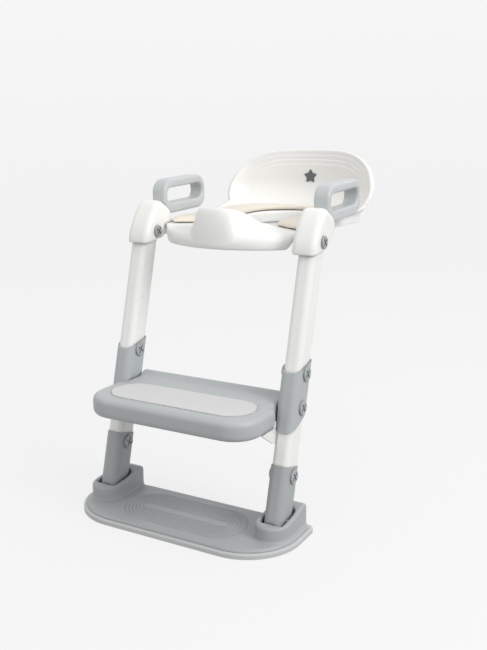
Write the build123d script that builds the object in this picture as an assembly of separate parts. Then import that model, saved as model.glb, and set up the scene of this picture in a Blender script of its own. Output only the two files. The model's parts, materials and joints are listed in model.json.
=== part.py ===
"""Toilet training seat with a folding step ladder, built as an assembly of separate pieces.

Millimetres, +Z up, the child faces -Y, and the floor is Z = 0.  The origin is on the floor under
the middle of the whole chair.  Everything is mirror-symmetric about X = 0.
"""
import os
from math import cos, radians, sin, tan

from build123d import *

# ---- driving dimensions -------------------------------------------------------------------
RAIL_X = 150.0            # centre plane of each rail
LEAN = 14.7               # the ladder leans back by this angle, in degrees
PIVOT_Y = -64.8           # ladder pivot in the ears
PIVOT_Z = 430.0

RAIL_WIDE = 28.0          # rail section along X
RAIL_DEEP = 39.0          # rail section front to back
RAIL_ROUND = 9.0
RAIL_WALL = 2.6
RAIL_TOP = 12.0           # distances below the pivot, measured down the leaning leg
RAIL_END = 390.0
LEG_SLEEVE_TOP = 332.4
HINGE_DOWN = 413.5        # base hinge
LEG_BOLT_DOWN = 346.3
STEP_BOLTS_DOWN = (194.5, 244.7)
LEG_TRAVEL = 30.0         # the lower legs pull out of the rails by this much

SLEEVE_GAP = 0.3
LEG_SLEEVE_WIDE = 32.0
LEG_SLEEVE_DEEP = 43.0
STEP_SLEEVE_WIDE = 33.0
STEP_SLEEVE_DEEP = 45.0
SLEEVE_ROUND = 12.0

BOLT_R = 4.0
RUNNING_GAP = 0.06
SLOT_GAP = 0.3
KNOB_R = 10.8
KNOB_THICK = 3.0
PIVOT_KNOB_R = 9.6

TREAD_HALF = 143.0
TREAD_FRONT = -253.5
TREAD_REAR = -98.0
TREAD_ENDS_REAR = -156.0  # the tread's ends stop in front of the rails
TREAD_LOW = 168.0
TREAD_TOP = 199.5
TREAD_SKIN = 3.6
TREAD_WALL = 6.5
INLAY_HALF = 121.9
INLAY_Y = (-230.5, -155.1)

BASE_HALF = 183.0
BASE_FRONT = -254.8
BASE_REAR = -123.0
BASE_TOP = 12.0
BASE_LIFT = 1.4           # the deck hangs this high on its rubber rim
RIM_OUT = 4.7             # how far the rubber rim stands out
RIM_HIGH = 7.5
RIM_END_X = 119.0         # the rim wraps the rear corners and ends here
GROOVES_Y = -190.5
COLLAR_X = (124.0, 176.0)
COLLAR_NOSE_Y = -186.0    # centre of the collar's round toe
COLLAR_REAR = -123.0
POCKET_X = (132.0, 168.0)
POCKET_CLEAR = 3.2

EAR_X = (127.0, 135.0, 165.0, 168.0)   # inner plate, cavity, outer skin
EYE_ROOM = 23.2           # radius of the cavity round the pivot
HANDLE_X = (134.0, 161.0)
HANDLE_Y = (-29.5, 98.0)
HANDLE_Z = (453.0, 510.0)
HANDLE_CORNER = 23.0
HANDLE_RISE = 2.7         # degrees

DECK_Z = (432.0, 441.0)
DECK_SLOPE = 1.5          # the seat deck rises to the rear, in degrees
DECK_HINGE_Y = -36.5
SEAT_HALF = 127.0
SEAT_FLANK = 118.0        # the deck is narrower towards the rear, inside its flared sides
SEAT_FRONT = -111.5
HOLE_HALF = 58.0
HOLE_Y = (-30.5, 201.5)
CUSHION_THICK = 10.0
CUSHION_LIP = 5.0         # white edge left bare between the hole and the cushion
CUSHION_INSET = 3.0
FRAME_WIDE = 19.0         # the frame under the deck reaches this far from the hole
REST_Z = 411.0            # the rubber pads meet the toilet bowl here

BACK_R = 247.0            # inner radius of the backrest wall
BACK_WALL = 9.0
BACK_FOOT_IN = 25.0       # the wall's foot curves in by this much to meet the deck
BACK_GAP = 0.4            # hairline between the deck and the backrest
BACK_CENTRE_Y = 3.5
BACK_TURN = 26.5          # beyond this angle the wall bends forward in a tighter arc
BACK_CORNER_R = 61.0
BACK_END = 80.0           # the wings end at this angle
BACK_TOP = 556.0
BACK_SCREW_Z = 440.5


# ---- helpers ------------------------------------------------------------------------------
def side_prism(outline, x_low, x_high):
    """Extrude a closed (Y, Z) outline from one X to another."""
    return Pos(x_low, 0, 0) * extrude(Plane.YZ * outline, x_high - x_low)


def plan_prism(outline, z_low, z_high):
    """Extrude a closed (X, Y) outline upward."""
    return Pos(0, 0, z_low) * extrude(outline, z_high - z_low)


def front_prism(outline, y_low, y_high):
    """Extrude a closed (X, Z) outline backward."""
    return Pos(0, y_high, 0) * extrude(Plane.XZ * outline, y_high - y_low)


def block(x_pair, y_pair, z_pair):
    centre = [(pair[0] + pair[1]) / 2 for pair in (x_pair, y_pair, z_pair)]
    size = [abs(pair[1] - pair[0]) for pair in (x_pair, y_pair, z_pair)]
    return Pos(*centre) * Box(*size)


def x_rod(radius, x_low, x_high, y, z):
    """A round rod along X."""
    return Pos((x_low + x_high) / 2, y, z) * Rot(0, 90, 0) * Cylinder(radius, x_high - x_low)


def leg_place(x=0.0):
    """Frame at the pivot whose Z runs up the leaning leg and whose Y points to its rear."""
    return Location((x, PIVOT_Y, PIVOT_Z), (-LEAN, 0, 0))


def down_leg(distance, rearward=0.0):
    """World (Y, Z) of a point below the pivot, measured along the leg."""
    y = PIVOT_Y - distance * sin(radians(LEAN)) + rearward * cos(radians(LEAN))
    z = PIVOT_Z - distance * cos(radians(LEAN)) - rearward * sin(radians(LEAN))
    return y, z


def leg_tube(wide, deep, corner, top, bottom, x):
    """Solid rounded bar along the leg between two distances below the pivot."""
    bar = extrude(RectangleRounded(wide, deep, corner), bottom - top)
    return leg_place(x) * Pos(0, 0, -bottom) * bar


def mirror_x(shape):
    return mirror(shape, about=Plane.YZ)


def write_pair(name, right_shape):
    """Write a right-hand piece and its mirror image as two nodes."""
    write(name + "_right", right_shape)
    write(name + "_left", mirror_x(right_shape))


def write(name, shape):
    solids = shape.solids()
    part = solids[0] if len(solids) == 1 else Compound(children=list(solids))
    export_step(part, os.path.join("parts", name + ".step"))


def deck_tilt(shape):
    """Give a level piece the rearward rise of the seat deck."""
    y = DECK_HINGE_Y
    z = DECK_Z[1]
    return Pos(0, y, z) * Rot(DECK_SLOPE, 0, 0) * Pos(0, -y, -z) * shape


def handle_tilt(shape):
    y = HANDLE_Y[0]
    z = HANDLE_Z[0]
    return Pos(0, y, z) * Rot(HANDLE_RISE, 0, 0) * Pos(0, -y, -z) * shape


# ---- fasteners ----------------------------------------------------------------------------
def knob(radius, x, y, z, outward):
    """Coin-slot disc with a domed rim, standing on the face at x."""
    disc = Cylinder(radius, KNOB_THICK, align=(Align.CENTER, Align.CENTER, Align.MIN))
    disc = chamfer(disc.edges().sort_by(Axis.Z)[-1], 0.9)
    slot_deep = 1.6
    bar = Pos(0, 0, KNOB_THICK - slot_deep / 2) * Box(radius * 1.45, 2.4, slot_deep)
    disc = disc - bar - Rot(0, 0, 90) * bar
    disc = Rot(0, 0, 35) * disc
    return Pos(x, y, z) * Rot(0, 90 * outward, 0) * disc


def cross_bolt(radius, face_x, end_x, y, z):
    """Knob on the outer face and a shank that reaches through to the nut."""
    return knob(radius, face_x, y, z, 1) + x_rod(BOLT_R, end_x, face_x + 0.5, y, z)


def cap_nut(radius, face_x, end_x, y, z):
    """Knob-shaped nut on the inner face with a blind bore for the shank."""
    body = knob(radius, face_x, y, z, -1)
    return body - x_rod(BOLT_R + RUNNING_GAP, end_x - 0.2, face_x + 1, y, z)


def pan_screw(length):
    """Small screw pointing up +Z with its head below Z = 0."""
    head = Cylinder(3.6, 2.2, align=(Align.CENTER, Align.CENTER, Align.MAX))
    drive = Pos(0, 0, -2.2) * Box(4.4, 0.9, 1.6)
    drive = drive + Rot(0, 0, 90) * drive
    shank = Cylinder(1.9, length, align=(Align.CENTER, Align.CENTER, Align.MIN))
    return head - drive + shank


# ---- ladder -------------------------------------------------------------------------------
def bolt_slot(x, top, bottom):
    """Cutter for a bolt's path through a rail along the leg."""
    gap = BOLT_R + SLOT_GAP
    upper = leg_place(x) * Pos(0, 0, -top) * Rot(0, 90, 0) * Cylinder(gap, 60)
    if bottom == top:
        return upper
    lower = leg_place(x) * Pos(0, 0, -bottom) * Rot(0, 90, 0) * Cylinder(gap, 60)
    between = leg_place(x) * Pos(0, 0, -(top + bottom) / 2) * Box(60, 2 * gap, bottom - top)
    return upper + lower + between


def rail():
    outer = leg_tube(RAIL_WIDE, RAIL_DEEP, RAIL_ROUND, RAIL_TOP, RAIL_END, RAIL_X)
    inner = leg_tube(RAIL_WIDE - 2 * RAIL_WALL, RAIL_DEEP - 2 * RAIL_WALL, RAIL_ROUND - RAIL_WALL,
                     RAIL_TOP - 1, RAIL_END + 1, RAIL_X)
    tube = outer - inner
    for distance in STEP_BOLTS_DOWN:
        tube = tube - bolt_slot(RAIL_X, distance, distance)
    return tube - bolt_slot(RAIL_X, LEG_BOLT_DOWN, LEG_BOLT_DOWN + LEG_TRAVEL)


def rail_top_eye():
    """Solid eye that plugs the rail and turns on the pivot bolt."""
    half = RAIL_WIDE / 2
    round_end = x_rod(RAIL_DEEP / 2, RAIL_X - half, RAIL_X + half, PIVOT_Y, PIVOT_Z)
    round_end = fillet(round_end.edges().filter_by(GeomType.CIRCLE), 4.0)
    round_end = round_end & leg_tube(60, 60, 2, -40, RAIL_TOP, RAIL_X)
    neck = leg_tube(RAIL_WIDE, RAIL_DEEP, RAIL_ROUND, 0, RAIL_TOP, RAIL_X)
    fit = 2 * RAIL_WALL + 0.2
    spigot = leg_tube(RAIL_WIDE - fit, RAIL_DEEP - fit, RAIL_ROUND - RAIL_WALL, RAIL_TOP - 1, 40, RAIL_X)
    eye = round_end + neck + spigot
    return eye - x_rod(BOLT_R + RUNNING_GAP, 100, 200, PIVOT_Y, PIVOT_Z)


def step_sleeve():
    """Grey sleeve round the rail; its top is scooped and rises to the rear."""
    outer = leg_tube(STEP_SLEEVE_WIDE, STEP_SLEEVE_DEEP, SLEEVE_ROUND, 160, 300, RAIL_X)
    gap = 2 * 0.15
    inner = leg_tube(RAIL_WIDE + gap, RAIL_DEEP + gap, RAIL_ROUND, 150, 310, RAIL_X)
    tube = outer - inner
    top_slant = 28.0
    scoop = Rot(top_slant, 0, 0) * Pos(0, 0, 55) * Rot(90, 0, 0) * Cylinder(55, 120)
    tube = tube - leg_place(RAIL_X) * Pos(0, 0, -184.5) * scoop
    low_slant = 36.5
    below = Rot(low_slant, 0, 0) * Pos(0, 0, -40) * Box(120, 120, 80)
    tube = tube - leg_place(RAIL_X) * Pos(0, 0, -266.5) * below
    for distance in STEP_BOLTS_DOWN:
        y, z = down_leg(distance)
        tube = tube - x_rod(BOLT_R + RUNNING_GAP, 100, 200, y, z)
    return tube


def rail_front(z):
    """Y of the rail's front face at a height."""
    return PIVOT_Y - (PIVOT_Z - z) * tan(radians(LEAN)) - RAIL_DEEP / 2 / cos(radians(LEAN))


def step_bracket():
    """White web under the tread that braces it against the rail."""
    gap = 0.15
    sleeve_front = rail_front(TREAD_LOW) - (STEP_SLEEVE_DEEP - RAIL_DEEP) / 2 - 1
    low = 144.0
    notch = 163.0
    top = TREAD_LOW - gap
    outline = Polyline((sleeve_front - 42, top), (sleeve_front, top), (sleeve_front, notch),
                       (rail_front(notch) - gap, notch), (rail_front(low) - gap, low),
                       (rail_front(low) - 5, low + 1), close=True)
    return side_prism(make_face(outline), RAIL_X - 15.5, RAIL_X - 11.0)


# ---- lower legs ---------------------------------------------------------------------------
def leg_sleeve():
    hinge_y, hinge_z = down_leg(HINGE_DOWN)
    wide = LEG_SLEEVE_WIDE
    deep = LEG_SLEEVE_DEEP
    tube = leg_tube(wide, deep, SLEEVE_ROUND, LEG_SLEEVE_TOP, HINGE_DOWN, RAIL_X)
    end = x_rod(deep / 2, RAIL_X - wide / 2, RAIL_X + wide / 2, hinge_y, hinge_z)
    tail = leg_tube(wide, deep, SLEEVE_ROUND, HINGE_DOWN - 1, HINGE_DOWN + 30, RAIL_X)
    bore = leg_tube(RAIL_WIDE + 2 * SLEEVE_GAP, RAIL_DEEP + 2 * SLEEVE_GAP, RAIL_ROUND + SLEEVE_GAP,
                    LEG_SLEEVE_TOP - 5, HINGE_DOWN + 40, RAIL_X)
    sleeve = tube + (end & tail) - bore
    y, z = down_leg(LEG_BOLT_DOWN)
    sleeve = sleeve - x_rod(BOLT_R + RUNNING_GAP, 100, 200, y, z)
    return sleeve - x_rod(BOLT_R, 100, 200, hinge_y, hinge_z)


def leg_foot():
    """Solid foot inside the sleeve that carries the base hinge pin."""
    hinge_y, hinge_z = down_leg(HINGE_DOWN)
    wide = RAIL_WIDE + 2 * SLEEVE_GAP - 0.2
    deep = RAIL_DEEP + 2 * SLEEVE_GAP - 0.2
    plug = leg_tube(wide, deep, RAIL_ROUND, RAIL_END + 5, HINGE_DOWN + 25, RAIL_X)
    end = x_rod(deep / 2, RAIL_X - 20, RAIL_X + 20, hinge_y, hinge_z)
    upper = leg_tube(40, 60, 2, RAIL_END, HINGE_DOWN, RAIL_X)
    return (plug & (end + upper)) - x_rod(BOLT_R, 100, 200, hinge_y, hinge_z)


def base_hinge_pin():
    hinge_y, hinge_z = down_leg(HINGE_DOWN)
    return x_rod(BOLT_R, POCKET_X[0] - 3.4, POCKET_X[1] + 3.4, hinge_y, hinge_z)


# ---- base ---------------------------------------------------------------------------------
def base_outline(grow):
    """Plan of the base: wide round front corners and tight rear ones."""
    half = BASE_HALF + grow
    front = BASE_FRONT - grow
    rear = BASE_REAR + grow
    corner = 82.0 + grow
    outline = Polyline((-half, rear), (-half, front), (half, front), (half, rear), close=True)
    face = make_face(outline)
    front_corners = face.vertices().sort_by(Axis.Y)[:2]
    face = fillet(front_corners, corner)
    rear_corners = face.vertices().sort_by(Axis.Y)[-2:]
    return fillet(rear_corners, 12.0)


def groove_ring(level):
    """One racetrack groove of the non-slip pattern."""
    length = 212.0 - level * 11.0
    width = 92.0 - level * 14.0
    groove_wide = 2.2
    groove_deep = 1.2
    outer = SlotOverall(length, width)
    inner = SlotOverall(length - 2 * groove_wide, width - 2 * groove_wide)
    return Pos(0, GROOVES_Y, BASE_TOP - groove_deep) * extrude(outer - inner, 3)


def collar():
    """Shoe-shaped boss round the foot of one leg: a round toe, rising to a peak at the rear."""
    half = (COLLAR_X[1] - COLLAR_X[0]) / 2
    inner, outer = COLLAR_X
    nose = COLLAR_NOSE_Y
    toe = ThreePointArc((inner, nose), (RAIL_X, nose - half), (outer, nose))
    sides = Polyline((outer, nose), (outer, COLLAR_REAR), (inner, COLLAR_REAR), (inner, nose))
    boss = plan_prism(make_face(Curve() + [toe, sides]), BASE_LIFT, 70)
    profile = make_face(Polyline((-250, -10), (-250, 33), (-192, 34.5), (-162, 37.5), (-133, 45.5),
                                 (COLLAR_REAR, 44), (COLLAR_REAR, -10), close=True))
    hollows = [v for v in profile.vertices() if 34 < v.Y < 40]
    profile = fillet(hollows, 20.0)
    peak = [v for v in profile.vertices() if v.Y > 43 and v.X > -140]
    profile = fillet(peak, 6.0)
    boss = boss & side_prism(profile, *COLLAR_X)
    top_edges = [e for e in boss.edges() if e.bounding_box().min.Z > 20 and e.bounding_box().size.Y > 1]
    boss = fillet(top_edges, 3.0)
    within = plan_prism(base_outline(-0.5), BASE_LIFT, 70)
    within = within + block((0, BASE_HALF - 2), (-140, 0), (BASE_LIFT, 70))
    return boss & within


def leg_pocket():
    """Cutters for the leg opening in a collar, with room for the base to rock."""
    hinge_y, hinge_z = down_leg(HINGE_DOWN)
    clear = POCKET_CLEAR
    wide = POCKET_X[1] - POCKET_X[0]
    deep = LEG_SLEEVE_DEEP + 2 * clear
    shaft = leg_tube(wide, deep, SLEEVE_ROUND, HINGE_DOWN - 60, HINGE_DOWN + 2, RAIL_X)
    bowl = x_rod(LEG_SLEEVE_DEEP / 2 + clear + 0.3, POCKET_X[0], POCKET_X[1], hinge_y, hinge_z)
    socket = x_rod(BOLT_R + RUNNING_GAP, POCKET_X[0] - 3.6, POCKET_X[1] + 3.6, hinge_y, hinge_z)
    return [shaft, bowl, socket]


def base_deck():
    deck = plan_prism(base_outline(0), BASE_LIFT, BASE_TOP)
    deck = fillet(deck.faces().sort_by(Axis.Z)[-1].edges(), 4.0)
    right = collar()
    deck = deck + right + mirror_x(right)
    for level in range(6):
        deck = deck - groove_ring(level)
    rib_pitch = 58.0
    skin = 4.0
    for column in range(4):
        for row in range(2):
            x = (column - 1.5) * rib_pitch
            y = -223 + row * 50
            pocket = Pos(x, y, BASE_LIFT) * Box(rib_pitch - 3, 47, 2 * (BASE_TOP - BASE_LIFT - skin))
            deck = deck - pocket
    for cutter in leg_pocket():
        deck = deck - cutter - mirror_x(cutter)
    return deck


def base_rim_grip():
    """Soft strip that wraps the front and sides and meets the floor."""
    strip = plan_prism(base_outline(RIM_OUT), 0, RIM_HIGH)
    top_edges = strip.faces().sort_by(Axis.Z)[-1].edges()
    strip = fillet(top_edges, 2.2)
    strip = strip - plan_prism(base_outline(0), BASE_LIFT, RIM_HIGH + 5)
    strip = strip - plan_prism(base_outline(-9), -1, RIM_HIGH)
    gap = RIM_END_X
    return strip - block((-gap, gap), (BASE_REAR - 12, 0), (-5, 30))


def base_floor_pads():
    """Thin anti-slip pads under the rear of the deck."""
    pads = []
    for x in (-150, -55, 55, 150):
        pads.append(Pos(x, BASE_REAR - 6 - 10, BASE_LIFT / 2) * Cylinder(7, BASE_LIFT))
    return Compound(children=pads)


# ---- step ---------------------------------------------------------------------------------
def tread_outline(inset):
    """Plan of the tread: full width in front of the rails, narrower between them."""
    half = TREAD_HALF - inset
    front = TREAD_FRONT + inset
    rear = TREAD_REAR - inset
    neck = RAIL_X - STEP_SLEEVE_WIDE / 2 - inset
    ends = TREAD_ENDS_REAR - inset
    wing = make_face(Polyline((-half, front), (half, front), (half, ends), (-half, ends), close=True))
    wing = fillet(wing.vertices().sort_by(Axis.Y)[:2], 44.0 - inset)
    wing = fillet(wing.vertices().sort_by(Axis.Y)[-2:], max(14.0 - inset, 2))
    bridge = Polyline((-neck, ends - 40), (neck, ends - 40), (neck, rear), (-neck, rear), close=True)
    return wing + make_face(bridge)


def tread_ribs():
    """Stiffening ribs under the tread's skin."""
    low = TREAD_LOW + 4
    high = TREAD_TOP - 2
    ribs = []
    for index in range(5):
        x = (index - 2) * 48
        ribs.append(block((x - 1.2, x + 1.2), (TREAD_FRONT + 2, TREAD_REAR - 2), (low, high)))
    ribs.append(block((-TREAD_HALF + 3, TREAD_HALF - 3), (-199, -196.6), (low, high)))
    return ribs


def step_tread():
    body = plan_prism(tread_outline(0), TREAD_LOW, TREAD_TOP)
    body = fillet(body.faces().sort_by(Axis.Z)[-1].edges(), 9.0)
    body = fillet(body.faces().sort_by(Axis.Z)[0].edges(), 9.0)
    inner = RAIL_X - STEP_SLEEVE_WIDE / 2
    lip = make_face(Polyline((-128, TREAD_TOP - 6), (-104, TREAD_TOP + 5.5), (TREAD_REAR, TREAD_TOP + 5.5),
                             (TREAD_REAR, TREAD_TOP - 6), close=True))
    body = body + side_prism(lip, -inner, inner)
    hollow = plan_prism(tread_outline(TREAD_WALL), TREAD_LOW - 1, TREAD_TOP - TREAD_SKIN)
    bolt_y, bolt_z = down_leg(STEP_BOLTS_DOWN[1])
    boss = x_rod(9.0, inner - 16, inner, bolt_y, bolt_z)
    hollow = hollow - boss - mirror_x(boss)
    body = body - (hollow - tread_ribs())
    recess = Pos(0, sum(INLAY_Y) / 2) * SlotOverall(2 * INLAY_HALF + 0.8, INLAY_Y[1] - INLAY_Y[0] + 0.8)
    body = body - plan_prism(recess, TREAD_TOP - 2.0, TREAD_TOP + 1)
    for x in (-RAIL_X, RAIL_X):
        body = body - leg_tube(STEP_SLEEVE_WIDE, STEP_SLEEVE_DEEP, SLEEVE_ROUND, 120, 320, x)
    bore = x_rod(BOLT_R + RUNNING_GAP, inner - 13, 200, bolt_y, bolt_z)
    return body - bore - mirror_x(bore)


def step_inlay():
    """Soft grip pad let into the tread."""
    plan = Pos(0, sum(INLAY_Y) / 2, 0) * SlotOverall(2 * INLAY_HALF, INLAY_Y[1] - INLAY_Y[0])
    pad = plan_prism(plan, TREAD_TOP - 2.0, TREAD_TOP + 0.3)
    return pad


# ---- seat ---------------------------------------------------------------------------------
def corner_centre():
    """Plan centre of the right-hand rear corner's arc."""
    reach = BACK_R - BACK_CORNER_R
    turn = radians(BACK_TURN)
    return reach * sin(turn), BACK_CENTRE_Y + reach * cos(turn)


def rear_line(grow, end):
    """Plan line parallel to the backrest: a wide arc that turns tighter at both ends."""
    corner_x, corner_y = corner_centre()

    def on_corner(angle):
        radius = BACK_CORNER_R + grow
        return corner_x + radius * sin(radians(angle)), corner_y + radius * cos(radians(angle))

    first = on_corner(BACK_TURN)
    middle = on_corner((BACK_TURN + end) / 2)
    last = on_corner(end)
    right = ThreePointArc(first, middle, last)
    left = ThreePointArc((-last[0], last[1]), (-middle[0], middle[1]), (-first[0], first[1]))
    wide = ThreePointArc((-first[0], first[1]), (0, BACK_CENTRE_Y + BACK_R + grow), first)
    return [left, wide, right], last


def seat_outline(inset):
    """Plan of the seat deck: arc front, straight flanks and a round rear."""
    side = SEAT_HALF - inset
    flank = SEAT_FLANK - inset
    rear, last = rear_line(-BACK_FOOT_IN - BACK_GAP - inset, BACK_END)
    front_y = SEAT_FRONT + inset
    shoulder = Line((side - 9, -52), (side, -34))
    front = ThreePointArc((-side + 9, -52), (0, front_y), (side - 9, -52))
    right = Polyline((side, -34), (side, 8), (flank, 60), last)
    left = Polyline((-last[0], last[1]), (-flank, 60), (-side, 8), (-side, -34))
    corner = Line((-side, -34), (-side + 9, -52))
    return make_face(Curve() + [shoulder, right, *rear, left, corner, front])


def hole_outline(grow):
    length = HOLE_Y[1] - HOLE_Y[0] + 2 * grow
    centre = Pos(0, sum(HOLE_Y) / 2, 0) * Rot(0, 0, 90)
    return centre * SlotOverall(length, 2 * (HOLE_HALF + grow))


def splash_guard():
    """Hollow-backed bulge at the front of the hole."""
    centre_y = -36.0
    outer = Pos(0, centre_y, 0) * Ellipse(48, 70)
    inner = Pos(0, centre_y, 0) * Ellipse(40, 59)
    wall = plan_prism(outer, DECK_Z[0] + 2, 480) - plan_prism(inner, 400, 490)
    wall = wall & block((-80, 80), (-140, centre_y + 22), (400, 500))
    crest = Spline((-49, 452), (-44, 464), (-26, 473.5), (0, 475.5), (26, 473.5), (44, 464), (49, 452))
    skirt = Polyline((49, 452), (49, 425), (-49, 425), (-49, 452))
    wall = wall & front_prism(make_face(Curve() + [crest, skirt]), -150, 20)
    slope = make_face(Polyline((-130, 400), (-130, 500), (-60, 500), (-12, 436), (-12, 400), close=True))
    return wall & side_prism(slope, -80, 80)


def flank_wall():
    """Flared side that rises from the deck's right edge to the backrest's wing."""
    foot = SEAT_FLANK - 1
    crest = 142.0
    slant = make_face(Polyline((foot - 4, DECK_Z[0]), (foot + 4, DECK_Z[0] + 1), (crest, 463),
                               (crest - 4.5, 463), (foot - 1, DECK_Z[1]), close=True))
    wall = front_prism(slant, 8, 178)
    under_rise = make_face(Polyline((8, 420), (8, DECK_Z[1] + 1), (60, 450), (178, 460), (178, 420),
                                    close=True))
    return wall & side_prism(under_rise, 100, 150)


def seat_shell():
    deck = plan_prism(seat_outline(0), *DECK_Z)
    flank_cut = make_face(Polyline((104, 424), (140, 424), (140, 446), close=True))
    flare = front_prism(flank_cut, 62, 260)
    deck = deck - flare - mirror_x(flare)
    wall = flank_wall()
    collar_wall = plan_prism(hole_outline(3.2), 421, DECK_Z[1] - 1)
    skirt = plan_prism(seat_outline(0) - seat_outline(4.0), 413.0, DECK_Z[0] + 1)
    skirt = skirt & block((-130, 130), (-120, -52), (400, 445))
    shell = deck_tilt(deck + wall + mirror_x(wall) + collar_wall) + skirt + splash_guard()
    return shell - deck_tilt(plan_prism(hole_outline(0), 380, 520))


def seat_cushion():
    """U-shaped pad round the hole, open at the front, that leans on the flared sides."""
    plan = seat_outline(CUSHION_INSET) - hole_outline(CUSHION_LIP)
    pad = plan_prism(plan, DECK_Z[1] + 0.05, DECK_Z[1] + CUSHION_THICK)
    front = make_face(Polyline((-200, -200), (200, -200), (200, -38), (112, -38), (84, -30), (56, -3),
                               (-56, -3), (-84, -30), (-112, -38), (-200, -38), close=True))
    foot = SEAT_FLANK - 2.3
    beside = make_face(Polyline((foot, 430), (foot, DECK_Z[1]), (foot + 22, DECK_Z[1] + 22.5), (180, 463.5),
                                (180, 430), close=True))
    flare = front_prism(beside, 7.9, 200)
    return deck_tilt(pad - plan_prism(front, 430, 470) - flare - mirror_x(flare))


def under_frame():
    """Ring below the deck that carries the rubber pads."""
    plate = plan_prism(hole_outline(FRAME_WIDE), 425.0, 450)
    ring = plan_prism(hole_outline(FRAME_WIDE) - hole_outline(FRAME_WIDE - 2.5), 415.0, 430)
    inner = plan_prism(hole_outline(8) - hole_outline(4.6), 417.0, 430)
    body = plate + ring + inner
    for x, y in pad_places():
        body = body + Pos(x, y, 422) * Cylinder(11.5, 14)
    body = body - plan_prism(hole_outline(4.6), 380, 520)
    over = deck_tilt(block((-200, 200), (-300, 400), (DECK_Z[0], 600)))
    body = body - over
    for x, y in screw_places():
        body = body - Pos(x, y, 430) * Cylinder(2.1, 40)
        body = body - Pos(x, y, 422.6) * Cylinder(4.2, 12)
    return body


def pad_places():
    return [(side * x, y) for side in (-1, 1) for x, y in ((71, -22), (63, 172))]


def screw_places():
    return [(side * x, y) for side in (-1, 1) for x, y in ((70.5, 30), (70.5, 85), (70.5, 140))]


def seat_pads():
    """Rubber pads that rest on the toilet bowl."""
    pads = []
    for x, y in pad_places():
        pad = Cylinder(10.5, 4.0, align=(Align.CENTER, Align.CENTER, Align.MIN))
        pad = fillet(pad.edges().sort_by(Axis.Z)[0], 1.0)
        pads.append(Pos(x, y, REST_Z) * pad)
    return Compound(children=pads)


def frame_screws():
    """Screws that hold the under frame to the deck."""
    return Compound(children=[Pos(x, y, 428.6) * pan_screw(9.0) for x, y in screw_places()])


def screw_holes():
    """Blind pilot holes in the deck for the frame screws."""
    pilot = Cylinder(1.95, 9.4, align=(Align.CENTER, Align.CENTER, Align.MIN))
    return [Pos(x, y, 428.6) * pilot for x, y in screw_places()]


# ---- backrest -----------------------------------------------------------------------------
def back_profile(radius):
    """Section of the wall with its foot curved in; radius is that of the upright inner face."""
    foot = radius - BACK_FOOT_IN
    rear = radius + BACK_WALL
    inner = Spline((foot, 443), (radius - 13, 458), (radius - 4.6, 474), (radius, 494),
                   tangents=[(0.5, 1), (0, 1)])
    top = Polyline((radius, 494), (radius, BACK_TOP), (rear, BACK_TOP), (rear, 502))
    outer = Spline((rear, 502), (radius + 5.3, 480), (radius - 3.4, 462), (foot + 9, 444),
                   tangents=[(0, -1), (-0.5, -1)])
    base = Polyline((foot + 9, 444), (foot + 8, 434), (foot, 434), (foot, 443))
    return make_face(Plane.XZ * (Curve() + [inner, top, outer, base]))


def back_shape():
    """Edge of the backrest seen from the front: flat top that rounds down to the wings."""
    right = [(140.5, 476), (138.6, 485), (136, 496), (132, 507), (126.2, 520), (119.4, 529), (110, 538),
             (97, 546.5), (85, 552.4), (69, BACK_TOP - 0.3)]
    edge = Spline(*right)
    other = Spline(*[(-x, z) for x, z in reversed(right)])
    top = Line(right[-1], (-right[-1][0], right[-1][1]))
    first = right[0]
    low = Polyline((-first[0], first[1]), (-160, 470), (-160, 430), (160, 430), (160, 470), first)
    return front_prism(make_face(Curve() + [edge, top, other, low]), 100, 300)


def backrest():
    """Curved wall with a flat top that rounds down into two wings."""
    wide = revolve(back_profile(BACK_R), Axis.Z, 2 * BACK_TURN)
    wall = Pos(0, BACK_CENTRE_Y, 0) * Rot(0, 0, 90 - BACK_TURN) * wide
    corner_x, corner_y = corner_centre()
    bend = revolve(back_profile(BACK_CORNER_R), Axis.Z, BACK_END - BACK_TURN)
    corner = Pos(corner_x, corner_y, 0) * Rot(0, 0, 90 - BACK_END) * bend
    wall = wall + corner + mirror_x(corner)
    wing_end = make_face(Polyline((160, 400), (160, 600), (222, 528), (206, 507), (190, 478), (183, 464),
                                  (180, 400), close=True))
    return (wall & back_shape()) - side_prism(wing_end, -200, 200)


def round_the_back(angle, radius, shape):
    """Place a shape made along -Y so that it points at the wall's centre from a radius."""
    centre = Pos(0, BACK_CENTRE_Y, BACK_SCREW_Z) * Rot(0, 0, angle)
    return centre * Pos(0, radius, 0) * Rot(90, 0, 0) * shape


def backrest_screws():
    """Three screws from the rear into the edge of the deck."""
    head_r = BACK_R - BACK_FOOT_IN + 6.0
    return [round_the_back(angle, head_r, pan_screw(15.0)) for angle in (-20, 0, 20)]


def backrest_screw_holes():
    head_r = BACK_R - BACK_FOOT_IN + 6.0
    shank = Cylinder(1.95, 15.3, align=(Align.CENTER, Align.CENTER, Align.MIN))
    head = Cylinder(3.9, 12.0, align=(Align.CENTER, Align.CENTER, Align.MAX))
    return [round_the_back(angle, head_r, shank + head) for angle in (-20, 0, 20)]


def star_points(centre_z, outer, inner, tips):
    """Corners of a plain star, tip up."""
    points = []
    for index in range(2 * tips):
        radius = outer if index % 2 == 0 else inner
        angle = radians(90 + index * 180 / tips)
        points.append((radius * cos(angle), centre_z + radius * sin(angle)))
    return points


def backrest_badge():
    """Plain five-point star let onto the inner face of the backrest."""
    star = make_face(Polyline(*star_points(507, 14, 7.5, 5), close=True))
    star = fillet(star.vertices(), 1.6)
    prism = front_prism(star, 200, 260)
    skin = plan_prism(Pos(0, BACK_CENTRE_Y, 0) * (Circle(BACK_R) - Circle(BACK_R - 0.9)), 480, 540)
    return prism & skin


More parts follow.
